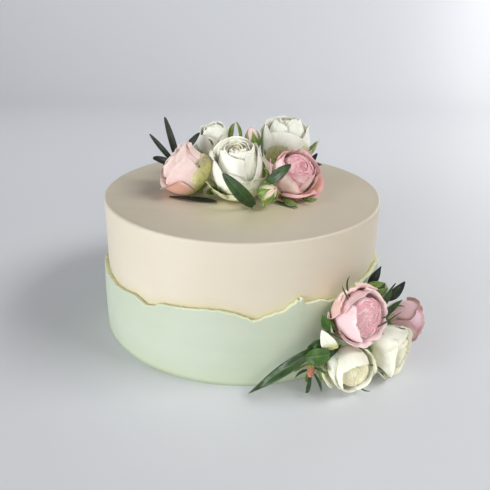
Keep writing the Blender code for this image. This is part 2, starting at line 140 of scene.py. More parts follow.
class Shape:
    """Sheets and tubes gathered into one mesh, with two colour attributes for the material."""

    def __init__(self):
        self.points, self.faces, self.petal, self.bloom = [], [], [], []
        self.count = 0

    def add(self, points, faces, petal, bloom):
        self.points.append(points)
        self.faces += [tuple(corner + self.count for corner in face) for face in faces]
        self.petal.append(petal)
        self.bloom.append(np.broadcast_to(bloom, (len(points), 4)))
        self.count += len(points)

    def finish(self, name, material, slot, *nodes):
        """The piece, which rides on the one body and stands for CAD nodes; slot is not used."""
        mesh = bpy.data.meshes.new(name)
        mesh.from_pydata(np.concatenate(self.points).tolist(), [], self.faces)
        mesh.materials.append(material)
        for label, rows in (("petal", self.petal), ("bloom", self.bloom)):
            layer = mesh.attributes.new(label, "FLOAT_COLOR", "POINT")
            layer.data.foreach_set("color", np.concatenate(rows).astype(np.float32).ravel())
        mesh.shade_smooth()
        mesh.update()
        obj = linked(name, mesh)
        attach(obj, "root")
        if nodes:
            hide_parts(*nodes)


def shell(shape, rows, thickness, along, across, bloom):
    """Adds a grid of points as a thin closed shell whose edge is thinner than its middle."""
    high, wide = rows.shape[:2]
    normal = unit(np.cross(np.gradient(rows, axis=1), np.gradient(rows, axis=0)))
    edge = np.ones((high, wide, 1))
    edge[0] = edge[-1] = edge[:, 0] = edge[:, -1] = EDGE_SHARE
    offset = normal * (0.5 * thickness) * edge
    points = np.concatenate(((rows + offset).reshape(-1, 3), (rows - offset).reshape(-1, 3)))
    front = np.arange(high * wide).reshape(high, wide)
    quads = np.stack((front[:-1, :-1], front[:-1, 1:], front[1:, 1:], front[1:, :-1]), axis=-1).reshape(-1, 4)
    loop = np.concatenate((front[0], front[1:, -1], front[-1, -2::-1], front[-2:0:-1, 0]))
    after, back = np.roll(loop, -1), high * wide
    rim = np.stack((after, loop, back + loop, back + after), axis=-1)
    faces = np.concatenate((quads, back + quads[:, ::-1], rim)).tolist()
    marks = np.empty((2, high, wide, 4))
    marks[..., 0] = along
    marks[..., 1] = 0.5 + 0.5 * across
    marks[0, ..., 3], marks[1, ..., 3] = 1, 0.0
    marks[..., 2] = np.maximum(np.abs(across), ease((along - 0.6) / 0.4))
    shape.add(points, faces, marks.reshape(-1, 4), bloom)


def add_rings(shape, rows, along, across=0, bloom=(0, 0, 0, 1), closed=False):
    """Adds rows of points that each run once round: a capped tube, or one whose last row meets the first."""
    count, steps = rows.shape[:2]
    first = np.arange(count * steps).reshape(count, steps)
    second = np.roll(first, -1, axis=1)
    quads = np.stack((first, second, np.roll(second, -1, axis=0), np.roll(first, -1, axis=0)), axis=-1)
    faces = (quads if closed else quads[:-1]).reshape(-1, 4).tolist()
    if not closed:
        faces += [first[0, ::-1].tolist(), first[-1].tolist()]
    marks = np.zeros((count, steps, 4))
    marks[..., 0] = along
    marks[..., 1] = across
    marks[..., 3] = 1.0
    shape.add(rows.reshape(-1, 3), faces, marks.reshape(-1, 4), bloom)


def tube(shape, line, radii, sides, bloom):
    """Adds a round tube along a line of points, closed at both ends."""
    ahead = unit(np.gradient(line, axis=0))
    guide = np.array((0, 0, 1)) if abs(ahead[0][2]) < 0.9 else np.array((1, 0, 0))
    first = unit(np.cross(ahead, guide))
    second = np.cross(ahead, first)
    turns = (np.arange(sides) * TAU / sides)[None, :, None]
    ring = np.cos(turns) * first[:, None] + np.sin(turns) * second[:, None]
    add_rings(shape, line[:, None] + ring * radii[:, None, None], np.linspace(0, 1, len(line))[:, None],
              across=0.5, bloom=bloom)


# Materials

class Shader:
    """A Principled material with a node graph built up call by call."""

    def __init__(self, name, roughness=0.5, **constants):
        self.material = bpy.data.materials.new(name)
        self.material.use_nodes = True
        self.tree = self.material.node_tree
        self.principled = self.tree.nodes["Principled BSDF"]
        self.principled.inputs["Roughness"].default_value = roughness
        for label, value in constants.items():
            self.principled.inputs[label.replace("_", " ")].default_value = value

    def node(self, kind, inputs=None, **settings):
        made = self.tree.nodes.new("ShaderNode" + kind)
        for label, value in settings.items():
            setattr(made, label, value)
        for label, value in (inputs or {}).items():
            self.feed(made.inputs[label], value)
        return made

    def feed(self, socket, value):
        if isinstance(value, bpy.types.NodeSocket):
            self.tree.links.new(value, socket)
        elif isinstance(value, tuple) and len(value) == 3 and socket.type == "RGBA":
            socket.default_value = (*value, 1)
        else:
            socket.default_value = value

    def math(self, operation, a, b=0):
        return self.node("Math", {0: a, 1: b}, operation=operation).outputs[0]

    def times(self, a, b):
        return self.math("MULTIPLY", a, b)

    def less(self, a, b):
        return self.math("SUBTRACT", a, b)

    def span(self, value, low, high, to_low=0, to_high=1):
        """The value's place between low and high, eased, as to_low to to_high."""
        made = self.node("MapRange", {"Value": value, "From Min": low, "From Max": high,
                                      "To Min": to_low, "To Max": to_high},
                         interpolation_type="SMOOTHSTEP")
        return made.outputs["Result"]

    def blend(self, share, a, b):
        return self.node("Mix", {0: share, 6: a, 7: b}, data_type="RGBA").outputs[2]

    def place(self, scale=(1, 1, 1)):
        """The object's own coordinates in metres, scaled."""
        coordinates = self.node("TexCoord").outputs["Object"]
        return self.node("VectorMath", {0: coordinates, 1: scale}, operation="MULTIPLY").outputs[0]

    def noise(self, place, scale, detail=2, roughness=0.5):
        made = self.node("TexNoise", {"Vector": place, "Scale": scale, "Detail": detail,
                                      "Roughness": roughness})
        return made.outputs["Fac"]

    def marks(self, label):
        """The red, green, blue and alpha of a colour attribute."""
        attribute = self.node("Attribute", attribute_name=label)
        parts = self.node("SeparateColor", {"Color": attribute.outputs["Color"]})
        return (*parts.outputs[:3], attribute.outputs["Alpha"])

    def coat(self, share, colour):
        """Lays a colour over the tone so far."""
        self.tone = self.blend(share, self.tone, colour)

    def finished(self):
        self.feed(self.principled.inputs["Base Color"], self.tone)
        return self.material

    def rough(self, value):
        self.feed(self.principled.inputs["Roughness"], value)

    def bump(self, height, distance, strength=1):
        made = self.node("Bump", {"Height": height, "Distance": distance, "Strength": strength})
        self.feed(self.principled.inputs["Normal"], made.outputs["Normal"])


def srgb(code):
    """Linear colour of an sRGB colour written as 0xRRGGBB."""
    def linear(value):
        value /= 255.0
        return value / 12.92 if value <= 0.04045 else ((value + 0.055) / 1.055) ** 2.4
    return tuple(linear(code >> shift & 255) for shift in (16, 8, 0))


def soft_spot(look, place, centre, reach):
    """1 at a point of the object, falling softly to 0 at a distance."""
    away = look.node("VectorMath", {0: place, 1: centre}, operation="DISTANCE").outputs["Value"]
    return look.span(away, 0.25 * reach, reach, 1, 0)


def cream_shader():
    look = Shader("peach_cream", 0.5, Subsurface_Weight=0.12, Subsurface_Scale=0.004,
                  Subsurface_Radius=(1, 0.8, 0.6))
    place = look.place()
    soft = look.noise(place, 14, 3)
    side = look.noise(look.place((1, 1, 16)), 9, 4, 0.6)
    top = look.noise(look.place((7, 40, 1)), 5, 4, 0.62)
    height = look.node("SeparateXYZ", {0: place}).outputs["Z"]
    on_top = look.span(height, CAKE_HEIGHT - 0.0012, CAKE_HEIGHT - 0.0003)
    streaks = look.blend(on_top, side, top)
    look.tone = look.blend(look.span(soft, 0.3, 0.7), srgb(0xd9ceba), srgb(0xddd3c0))
    look.coat(look.span(streaks, 0.3, 0.75, 0, 0.1), srgb(0xd4c8b2))
    # Painted light: a soft yellow-green pool of bounce light on the top just in front of the flowers, lifting
    # the shade they cast there.
    bounce_glow = soft_spot(look, place, (0.004, -0.05, 0.102), 0.05)
    look.coat(look.times(bounce_glow, 0.3), srgb(0xeae2a8))
    # Painted shade and green bounce light: the cream turns darker and yellower towards the band's rim.
    near_rim = look.marks("petal")[0]
    look.coat(look.times(near_rim, 0.45), srgb(0xd4cc9c))
    look.rough(look.span(streaks, 0.2, 0.8, 0.44, 0.54))
    look.bump(streaks, 0.00005, 0.5)
    return look.finished()


def band_shader():
    look = Shader("green_cream", 0.5, Subsurface_Weight=0.12, Subsurface_Scale=0.004)
    along, _, _, _ = look.marks("petal")
    place = look.place()
    soft = look.noise(place, 16, 3)
    smear = look.noise(look.place((1, 1, 9)), 10, 4, 0.6)
    look.tone = look.blend(look.span(soft, 0.3, 0.7), srgb(0xc5cdba), srgb(0xbec9b1))
    look.coat(look.span(smear, 0.35, 0.75, 0, 0.4), srgb(0xcad2be))
    foot = look.span(look.node("SeparateXYZ", {0: place}).outputs["Z"], 0, 0.014, 0.35, 0)
    look.coat(foot, srgb(0xc2cca2))
    # The pale lip and yellow groove are the band's own colours, painted lighter to make up for the little
    # light on the rim's top and the shade in the groove.
    look.coat(look.span(along, 0, 0.5), srgb(0xe8eccc))
    look.coat(look.span(along, 0.6, 1), srgb(0xe4e69e))
    look.rough(look.span(smear, 0.2, 0.8, 0.42, 0.58))
    look.bump(smear, 0.0002, 0.5)
    return look.finished()


PETAL_FOOT = 0xcece7c

# The petals' sRGB colours (body, inner face, which is painted shade low in the cup, blush, lip and heart,
# which is partly painted shade of the inner rings), how far up the green foot reaches, and how strong the
# veins are.
PETAL_LOOKS = {
    "blush_pink": (0xf4d9d5, 0xd69c9c, 0xe8a694, 0xf8e4da, 0xe4acae, 0.36, 0.1),
    "deep_pink": (0xfeeae4, 0xd66884, 0xf2beaa, 0xf2acba, 0xf4bcc6, 0.32, 0.14),
    "rose_pink": (0xfcdcde, 0xdc6884, 0xf6c8b8, 0xffe8e6, 0xf4a8b8, 0.28, 0.14),
    "mauve_pink": (0xf6d6e4, 0xdea8bc, 0xe2aa9e, 0xd6a096, 0xc88c9c, 0.25, 0.12),
    "warm_white": (0xfffff4, 0xf6e6a2, 0xd8e0a2, 0xfefcee, 0xfff0b0, 0.42, 0.06),
    "cool_white": (0xfffff6, 0xeaeac0, 0xb4ba76, 0xfafaec, 0xf0eabc, 0.42, 0.06),
    "cream_white": (0xfffeee, 0xf0e6b2, 0xd4da9e, 0xfcfae6, 0xf8eebe, 0.38, 0.06),
    "bud_cream": (0xf4f0d0, 0xdca096, 0xe2aaa0, 0xe8b8ac, 0xf0e2be, 0.2, 0.06),
    "salmon_tip": (0xcc8670, 0xc47264, 0xce7060, 0xe2a08c, 0xce786a, 0.45, 0.06),
}


def petal_shader(name):
    """Soft petals: outer and inner faces with painted shade low in the cups, a heart colour that is partly
    painted shade, a blush on some, a paler or darker lip, and a green foot.
    """
    *colours, base_reach, veined = PETAL_LOOKS[name]
    body, inside, blush, lip, heart, base = (srgb(colour) for colour in (*colours, PETAL_FOOT))
    look = Shader(name, 0.5, Sheen_Weight=0.08, Specular_IOR_Level=0.35)
    along, across, edge, outer = look.marks("petal")
    tint, depth, seed, green = look.marks("bloom")
    place = look.place()
    mottle = look.noise(place, 260, 3)
    broad = look.noise(place, 90, 2)
    look.tone = look.blend(look.span(mottle, 0.3, 0.7), body, tuple(0.95 * c for c in body))
    # Painted shade: the inner faces take the darker inside colour low in the cup, reaching higher in the
    # inner rings.
    from_low = look.math("ADD", 0.25, look.times(depth, 0.6))
    to_high = look.math("ADD", from_low, 0.35)
    cup_shade = look.times(look.less(1, outer), look.span(along, from_low, to_high, 1, 0))
    look.coat(cup_shade, inside)
    # The inner rings turn to the heart colour: partly the bloom's own deeper or creamier centre, partly
    # painted shade.
    look.coat(look.span(depth, 0.15, 0.75), heart)
    patch = look.times(tint, look.span(broad, 0.25, 0.6, 0.7, 1))
    look.coat(patch, blush)
    look.coat(look.span(edge, 0.8, 1, 0, 0.75), lip)
    wander = look.times(look.less(mottle, 0.5), 0.45)
    low = look.less(1, look.span(look.math("ADD", along, wander), base_reach - 0.18, base_reach + 0.16))
    share = look.times(low, look.less(1, look.times(depth, 0.5)))
    look.coat(share, base)
    streak = look.noise(look.place((1, 1, 0.4)), 640, 3, 0.6)
    flecks = look.blend(look.span(streak, 0.42, 0.74), base, tuple(0.6 * c for c in base))
    fade = look.span(along, 0.55, 1, 1, 0.6)
    look.coat(look.times(green, fade), flecks)
    veins = look.node("TexNoise", {"Vector": look.node("CombineXYZ", {
        0: look.times(across, 30), 1: look.times(along, 1.6),
        2: look.times(seed, 40)}).outputs[0], "Scale": 1, "Detail": 2.0}).outputs["Fac"]
    look.coat(look.span(veins, 0.45, 0.75, 0, veined), tuple(0.7 * c for c in blush))
    look.bump(veins, 0.00012, 0.3)
    return look.finished()


GREEN_EDGE = 0xced4a0

# The greens' sRGB colours (light, dark and rib), their roughness, and how pale their edges are.
GREEN_LOOKS = {
    "sepal_green": (0x768a42, 0x4c6226, 0x96a55f, 0.5, 0.4),
    "bud_skin": (0x7a963c, 0x527424, 0xb0be6e, 0.4, 0.7),
    "dark_leaf": (0x222e20, 0x141e16, 0x283624, 0.42, 0),
    "leaf_green": (0x365424, 0x1e3816, 0x4a6830, 0.34, 0),
    "fresh_leaf": (0x4c702e, 0x2e521c, 0x688a42, 0.36, 0),
}


def green_shader(name):
    """Leaf green with a paler rib and side veins."""
    *colours, roughness, edged = GREEN_LOOKS[name]
    light, dark, rib = (srgb(colour) for colour in colours)
    look = Shader(name, roughness, Subsurface_Weight=0.05, Subsurface_Scale=0.001)
    along, across, edge, _ = look.marks("petal")
    out = look.math("ABSOLUTE", look.less(look.times(across, 2), 1))
    mottle = look.noise(look.place(), 240, 3)
    look.tone = look.blend(look.span(mottle, 0.3, 0.7), dark, light)
    slant = look.less(look.times(along, 11), look.times(out, 2.6))
    line = look.math("ABSOLUTE", look.less(look.math("FRACT", slant), 0.5))
    vein = look.span(line, 0, 0.1, 1, 0)
    look.coat(look.times(vein, 0.35), rib)
    middle = look.span(out, 0.03, 0.12, 1, 0)
    look.coat(look.times(middle, 0.6), rib)
    if edged:
        look.coat(look.span(edge, 0.72, 1, 0, edged), srgb(GREEN_EDGE))
    relief = look.math("ADD", look.times(vein, -1), mottle)
    look.bump(relief, 0.00012, 0.5)
    return look.finished()


# The cake and its second coat

def turned(turns, reach, height):
    """Points at angles round Z, at distances from it and heights."""
    return np.stack((reach * np.cos(turns), reach * np.sin(turns), height), axis=-1)


def wave_round(rng, waves, turns, swing):
    """A random height round the cake that closes on itself."""
    total = np.zeros_like(turns)
    for wave, size in zip(waves, swing):
        total += size * np.sin(wave * turns + rng.uniform(0, TAU))
    return total


def add_cake():
    """The peach cream: flat top with faint spatula marks, a small raised lip, a near-plumb side."""
    rng = random.Random("cake")
    side = np.linspace(0, 1, 40)
    bend = 0.5 * math.pi * np.arange(1, 8) / 7
    inward = np.arange(1, 45) / 44
    corner_r, corner_z = CAKE_TOP_RADIUS - TOP_EDGE_ROUND, CAKE_HEIGHT - TOP_EDGE_ROUND
    radii = np.concatenate(([0.0], mix(CAKE_FOOT_RADIUS, CAKE_TOP_RADIUS, side),
                            corner_r + TOP_EDGE_ROUND * np.cos(bend), corner_r * (1 - inward)))
    heights = np.concatenate(([0.0], corner_z * side, corner_z + TOP_EDGE_ROUND * np.sin(bend),
                              CAKE_HEIGHT + 0.0 * inward))
    radii[0] = radii[-1] = POLE_RADIUS
    phases = [(rng.uniform(3, 9), rng.uniform(0, TAU), rng.uniform(0, TAU)) for _ in range(6)]
    lip_wave = [rng.uniform(0, TAU) for _ in range(5)]

    def wander(turns, k):
        out, up = 0.0 * turns, 0.0 * turns
        z = heights[k]
        if 0 < k <= len(side) + len(bend):
            fade = min(1, z / 0.01)
            for wave, a, b in phases:
                out += 0.00006 * np.sin(round(wave) * turns + a + 90.0 * z * math.cos(b)) * fade
        if k > len(side):
            r = radii[k]
            near = math.exp(-((CAKE_TOP_RADIUS - r - 0.0012) / 0.0011) ** 2)
            lip = sum(np.sin((3 + 5 * i) * turns + a) / (1 + i) for i, a in enumerate(lip_wave))
            up += near * (0.00022 + 0.0001 * lip)
            x, y = r * np.cos(turns), r * np.sin(turns)
            up += 0.00002 * np.sin(520.0 * (y + 0.16 * x) + 3.0 * np.sin(60.0 * x))
            up += 0.00003 * np.sin(190.0 * (y - 0.1 * x) + 2.0 * np.sin(35.0 * x + 1))
        return out, up

    turns = np.arange(CAKE_STEPS) * TAU / CAKE_STEPS - math.pi
    rows = []
    for k, (radius, height) in enumerate(zip(radii, heights)):
        out, up = wander(turns, k)
        rows.append(turned(turns, radius + out, height + up))
    rows = np.stack(rows)
    # How near each point is to the band's rim, which the cream's painted shade and bounce light there follow.
    over = rows[..., 2] - rim_height(np.degrees(np.arctan2(rows[..., 1], rows[..., 0])))
    shape = Shape()
    add_rings(shape, rows, ease(1.0 - over / 0.009) ** 2)
    shape.finish("cake_cream", cream_shader(), "cream", "cake")


def rim_height(azimuths):
    """The band's rim height at azimuths in degrees, read smoothly between BAND_RIM's points."""
    knots = BAND_RIM + ((BAND_RIM[0][0] + 360, BAND_RIM[0][1]),)
    found = np.empty_like(azimuths)
    for (start, low), (end, high) in zip(knots, knots[1:]):
        inside = (azimuths >= start) & (azimuths <= end)
        found[inside] = MM * mix(low, high, ease((azimuths[inside] - start) / (end - start)))
    return found


def add_band():
    """The green coat: a wall with a torn, uneven rim and a groove behind it."""
    rng = random.Random("band")
    turns = np.arange(BAND_STEPS) * TAU / BAND_STEPS - math.pi
    rim = rim_height(np.degrees(turns))
    fine = wave_round(rng, (19, 31, 47, 61, 83, 109, 151), turns,
                      (0.00022, 0.0002, 0.00018, 0.00015, 0.00012, 0.0001, 0.00008))
    tears = np.maximum(0, wave_round(rng, (7, 13, 23, 37), turns, (0.4, 0.4, 0.4, 0.3)) - 0.55)
    rim = rim + fine - 0.0011 * tears
    level = rim
    for azimuth, rise in TORN_TIP:
        rim = rim + rise * np.exp(-((np.degrees(turns) - azimuth) / 0.65) ** 2)
    wide = 0.0011 + wave_round(rng, (5, 11, 17, 29), turns, (0.0002, 0.0002, 0.00015, 0.0001))
    foot_in = CAKE_FOOT_RADIUS + GAP
    slope = (CAKE_FOOT_RADIUS - CAKE_TOP_RADIUS) / CAKE_HEIGHT
    rows = [(foot_in + 0.0 * turns, 0.0 * turns, 0)]
    wall = 16
    bulge = wave_round(rng, (4, 6, 9, 14), turns, (0.00008, 0.00007, 0.00006, 0.00004))
    for k in range(wall):
        share = k / (wall - 1)
        z = share * (rim - 0.0009)
        drift = bulge * math.sin(math.pi * share) + 0.00006 * np.sin(11 * turns + 9.0 * share)
        lean = 0.0011 * ease((z / level - 0.55) / 0.45)
        rows.append((BAND_RADIUS - 0.00015 - lean + drift * min(1, 4.0 * share), z, 0))
    lip = BAND_RADIUS - 0.0018
    profile = ((0.00052, -0.00052, 0.15), (0.00036, -0.0002, 0.3), (0, 0, 0.4),
               (-0.0004, -0.00008, 0.5))
    for out, up, mark in profile:
        rows.append((lip + out + 0.0 * turns, rim + up, mark))
    back = rim - 0.0006
    rows.append((lip - 0.8 * wide, mix(rim, back, 0.2), 0.5))
    inner = foot_in - slope * back - 0.9 * GAP
    rows.append((np.maximum(lip - 2.0 * wide, inner + 0.0007), mix(rim, back, 0.5), 0.75))
    rows.append((inner + 0.0 * turns, back, 1))
    for share in (0.66, 0.33):
        rows.append((foot_in - slope * back * share, back * share, 1))
    shape = Shape()
    along = np.array([mark for _, _, mark in rows])[:, None]
    add_rings(shape, np.stack([turned(turns, r, z) for r, z, _ in rows]), along, closed=True)
    shape.finish("band_cream", band_shader(), "band_cream", "cream_band")


# Flowers

# A ring of like petals: start, half (of a petal's width) and roll are in degrees, radius, lip and top
# are shares of the rose's radius and height.
Ring = namedtuple(
    "Ring", "start radius lip top half roll curl tuck wave side round point ragged tint green "
    "count rows cols",
    defaults=(0, 0.8, 0.03, 0.02, 0, 0.22, 0, 0.018, 0, 0, 1, 21, 21))

# In the tables of roses, leaves and buds, the places, radii, widths and heights are in mm.
Flower = namedtuple("Flower", "name rings heart axis radius height petals sepal_lift cushion",
                    defaults=(None,))


def core(layers, petals, reach, lip, top, start=0, half=66, roll=8, tuck=0.05, wave=0.014, ragged=0.01):
    """Inner rings that close in step by step: each pair is the outermost value and the innermost."""
    rings = []
    for k in range(layers):
        share = k / (layers - 1)
        last = share > 0.7
        rings.append(Ring(start + 52 * k, mix(*reach, share), mix(*lip, share), mix(*top, share),
                          105 if last else half, roll * (1.0 - share), 0.84, tuck, wave, ragged=ragged,
                          round=0.14, count=2 if last else petals, rows=15, cols=17))
    return tuple(rings)


RUFFLED = {"wave": 0.05, "ragged": 0.03}
FLOWERS = (
    Flower("pink_rose_top_left",
        core(5, 3, (0.78, 0.22), (0.6, 0.05), (0.97, 0.94), half=68, roll=10) + (
        Ring(40, 0.9, 0.76, 0.95, 60, 16, tuck=0.06, round=0.12, count=3),
        Ring(268, 1.04, 0.98, 0.8, 46, 14, round=0.12), Ring(330, 0.99, 0.88, 0.92, 46, 24, round=0.14),
        Ring(15, 1, 0.96, 0.86, 44, 30, round=0.14), Ring(95, 1, 0.92, 0.88, 50, 30, round=0.14),
        Ring(150, 1, 0.96, 0.86, 48, 30, round=0.14),
        Ring(218, 1.06, 1.18, 0.78, 44, 30, side=0.05, tint=0.9, green=0.1),
        Ring(310, 1.05, 0.98, 0.42, 38, 2, ragged=0.05, green=0.9),
        Ring(348, 1.04, 0.98, 0.46, 36, 2, ragged=0.05, green=0.9)),
        (-41.8, -11.5, 118), (-0.8, 0, 0.6), 16.2, 32, "blush_pink", 0.3),
    Flower("white_rose_top_back",
        core(5, 3, (0.8, 0.25), (0.36, 0.04), (1, 0.97), start=30, half=68, tuck=0.06) + (
        Ring(15, 0.9, 0.5, 0.985, 64, 12, tuck=0.05, round=0.16, count=3),
        Ring(75, 1, 0.74, 0.88, 58, 20, tuck=0.04, round=0.24, count=3),
        Ring(300, 1.06, 1.08, 0.62, 32, 10, point=0.25, green=0.35),
        Ring(340, 1.05, 1.02, 0.54, 30, 15, point=0.2, green=0.3),
        Ring(250, 1.06, 1.1, 0.52, 34, 10, green=0.5)),
        (-22.4, 30, 128), (-0.2, -0.1, 0.97), 14.8, 32, "cool_white", 0.2),
    Flower("white_rose_top_front",
        core(7, 3, (0.74, 0.12), (0.38, 0.03), (1, 0.965), start=10, roll=6) + (
        Ring(25, 0.82, 0.44, 1, 68, 10, tuck=0.05, round=0.05, count=3),
        Ring(80, 0.9, 0.52, 0.97, 66, 14, tuck=0.04, round=0.1, count=3),
        Ring(98, 1, 0.66, 0.93, 70, 26, round=0.4, side=0.02),
        Ring(284, 1, 0.72, 0.91, 58, 50, round=0.3, side=0.05),
        Ring(190, 1, 0.62, 0.95, 64, 24, round=0.14), Ring(340, 0.99, 0.86, 0.68, 40, 12),
        Ring(24, 1.01, 0.93, 0.56, 50, 20, round=0.3, green=0.3),
        Ring(42, 1.07, 1.1, 0.42, 50, 50, round=0.3, green=0.6),
        Ring(308, 1.08, 1.22, 0.42, 32, 25, ragged=0.05, green=0.8),
        Ring(285, 1.06, 1.16, 0.32, 30, 10, ragged=0.05, green=1),
        Ring(352, 1.05, 1.04, 0.28, 42, 20, green=0.7)),
        (-3.5, -18.5, 122.2), (-0.03, -0.34, 0.94), 18.6, 37, "warm_white", 0.16),
    Flower("white_rose_top_right",
        core(5, 3, (0.82, 0.25), (0.3, 0.04), (1, 0.97), start=50, half=70, tuck=0.06) + (
        Ring(60, 0.9, 0.44, 0.985, 66, 10, tuck=0.05, round=0.12, count=3),
        Ring(165, 0.99, 0.74, 0.93, 52, 16), Ring(215, 0.98, 0.74, 0.91, 50, 16),
        Ring(275, 0.99, 0.74, 0.91, 52, 14), Ring(80, 1, 0.78, 0.86, 50, 18),
        Ring(350, 1.01, 0.8, 0.82, 60, 12, round=0.3),
        Ring(345, 1.06, 1.02, 0.62, 38, 5, ragged=0.05, point=0.3, green=0.9),
        Ring(35, 1.07, 1.06, 0.58, 34, 10, ragged=0.05, point=0.3, green=0.8),
        Ring(85, 1.05, 1.3, 0.6, 20, 5, point=0.5, green=0.9)),
        (33.2, 32, 130.6), (0.02, -0.05, 1), 19.8, 36, "cool_white", 0.2),
    Flower("pink_rose_top_right",
        core(9, 4, (0.82, 0.12), (0.66, 0.04), (0.9, 1), half=54, wave=0.05, ragged=0.02) + (
        Ring(0, 0.96, 0.84, 0.9, 50, 20, wave=0.06, ragged=0.04, round=0.14),
        Ring(170, 0.84, 0.5, 1, 60, 6, wave=0.05, ragged=0.03, round=0.14),
        Ring(215, 0.9, 0.6, 0.99, 52, 8, wave=0.05, ragged=0.03, round=0.14),
        Ring(120, 0.98, 0.8, 0.92, 46, 12, **RUFFLED), Ring(60, 0.98, 0.8, 0.92, 46, 12, **RUFFLED),
        Ring(250, 0.98, 0.82, 0.92, 46, 16, **RUFFLED), Ring(305, 0.98, 0.8, 0.92, 46, 16, **RUFFLED),
        Ring(175, 1.03, 1.04, 0.76, 46, 60, tint=0.5), Ring(85, 1.05, 1.16, 0.7, 42, 20),
        Ring(235, 1.08, 1.28, 0.62, 44, 20, tint=0.9),
        Ring(150, 1.1, 1.2, 0.34, 40, 20, ragged=0.05, green=0.6)),
        (36.7, -18, 118.4), (0.4, -0.62, 0.66), 16.4, 28, "deep_pink", 0.2, (0.7, 0.9, 1, 0.09)),
    Flower("pink_rose_side",
        core(10, 5, (0.86, 0.1), (0.76, 0.04), (0.84, 0.97), half=46, wave=0.045, ragged=0.02) + (
        Ring(100, 1, 0.8, 0.98, 58, 0, round=0.14, wave=0.03, ragged=0.03),
        Ring(20, 0.98, 0.9, 0.86, 50, 20, **RUFFLED),
        Ring(165, 1, 0.98, 0.82, 50, 60, wave=0.06, ragged=0.04),
        Ring(225, 0.98, 0.92, 0.84, 50, 30, **RUFFLED), Ring(290, 0.98, 0.9, 0.86, 50, 30, **RUFFLED),
        Ring(52, 1.04, 1.1, 0.72, 30, 60, ragged=0.07, tint=0.8),
        Ring(12, 1.04, 1.14, 0.76, 34, 60, ragged=0.07, tint=0.8),
        Ring(330, 1.03, 1.1, 0.72, 28, 60, ragged=0.07, tint=0.6),
        Ring(100, 1.07, 1.08, 0.4, 28, 40, ragged=0.04, tint=0.5, green=0.3),
        Ring(135, 1.06, 1.06, 0.36, 24, 30, ragged=0.04, tint=0.5, green=0.5)),
        (75.6, -99, 50.3), (0.52, -0.8, 0.26), 16.1, 28, "rose_pink", 0.2, (0.8, 0.84, 0.97, 0.09)),
    Flower("white_rose_side",
        core(9, 4, (0.84, 0.1), (0.66, 0.03), (0.88, 0.97), half=56, wave=0.03, ragged=0.015) + (
        Ring(12, 1.02, 0.58, 1.1, 62, 0, round=0.12), Ring(90, 0.99, 0.74, 1.02, 54, 4, round=0.14),
        Ring(100, 0.98, 0.88, 0.88, 52, 20), Ring(160, 0.98, 0.88, 0.88, 50, 20),
        Ring(220, 0.98, 0.9, 0.86, 48, 20),
        Ring(280, 1, 0.98, 0.86, 44, 30, wave=0.04, ragged=0.05, green=0.4),
        Ring(122, 1.08, 1.14, 0.55, 30, 40, green=0.3)),
        (71.6, -108, 17.1), (0.28, -0.95, 0.1), 14, 24, "cream_white", 0.2, (0.7, 0.88, 0.97, 0.07)),
    Flower("white_rose_side_right",
        core(7, 4, (0.84, 0.12), (0.6, 0.04), (0.93, 1.02), half=56, wave=0.04, ragged=0.02) + (
        Ring(90, 1, 0.88, 0.9, 62, 20, round=0.16), Ring(10, 0.98, 0.88, 0.9, 54, 20),
        Ring(200, 0.98, 0.92, 0.88, 54, 30, wave=0.04), Ring(280, 0.98, 0.92, 0.9, 56, 30, wave=0.04),
        Ring(160, 1.04, 1.12, 0.8, 42, 40), Ring(62, 0.9, 0.52, 0.99, 34, 6, round=0.1, green=0.3)),
        (101.6, -88, 17.6), (0.83, -0.56, -0.03), 16, 27, "cream_white", 0.2, (0.64, 0.93, 1.02, 0.1)),
    Flower("pink_rose_side_right",
        core(5, 3, (0.78, 0.2), (0.44, 0.05), (0.98, 0.95)) + (
        Ring(60, 0.9, 0.62, 0.98, 60, 20, tuck=0.05, count=3),
        Ring(0, 1, 0.92, 0.86, 58, 50, side=0.03, wave=0.06, ragged=0.05, tint=0.3, count=3)),
        (119, -60, 24.5), (0.97, -0.2, 0.03), 12.8, 26, "mauve_pink", 0.22),
)


def local_axes(axis):
    """Where a bloom faces, and two directions square to that: first up, or front if it stands."""
    axis = unit(np.asarray(axis, float))
    guide = np.array((0, 0, 1)) if abs(axis[2]) < 0.9 else np.array((0, -1, 0))
    first = unit(guide - axis * guide.dot(axis))
    return axis, first, np.cross(axis, first)


def under(bloom, share):
    """A point on a bloom's axis, below its heart by a share of its height."""
    return bloom.heart - local_axes(bloom.axis)[0] * (share * bloom.height)


def kept_clear(points, item, clearance):
    """The points, pushed out of the cake, the band and what the cake stands on."""
    points = points.copy()
    if "top" in item.name:
        points[..., 2] = np.maximum(points[..., 2], CAKE_HEIGHT + clearance)
        return points
    points[..., 2] = np.maximum(points[..., 2], clearance)
    reach = np.hypot(points[..., 0], points[..., 1])
    push = np.maximum(1, (BAND_RADIUS + clearance) / reach)
    points[..., 0] *= push
    points[..., 1] *= push
    return points


def cup(share, radius, height, lip, top):
    """A petal's middle line: out from the base, up round the belly and on to the lip."""
    back = 1.0 - share
    weights = (back ** 3, 3 * share * back ** 2, 3 * share ** 2 * back, share ** 3)
    reach = radius * sum(w * r for w, r in zip(weights, (*CUP_REACHES, lip)))
    rise = height * top * (weights[2] * CUP_SHOULDER + weights[3])
    return reach, rise


def placed(flower, turn, reach, rise, clearance=BLOOM_CLEARANCE):
    """World points at azimuths, distances from the axis and heights over the base."""
    axis, first, second = local_axes(flower.axis)
    base = under(flower, 0.5)
    turn, reach, rise = np.broadcast_arrays(turn, reach, rise)
    out = np.cos(turn)[..., None] * first + np.sin(turn)[..., None] * second
    points = base + rise[..., None] * axis + out * reach[..., None]
    return kept_clear(points, flower, clearance)


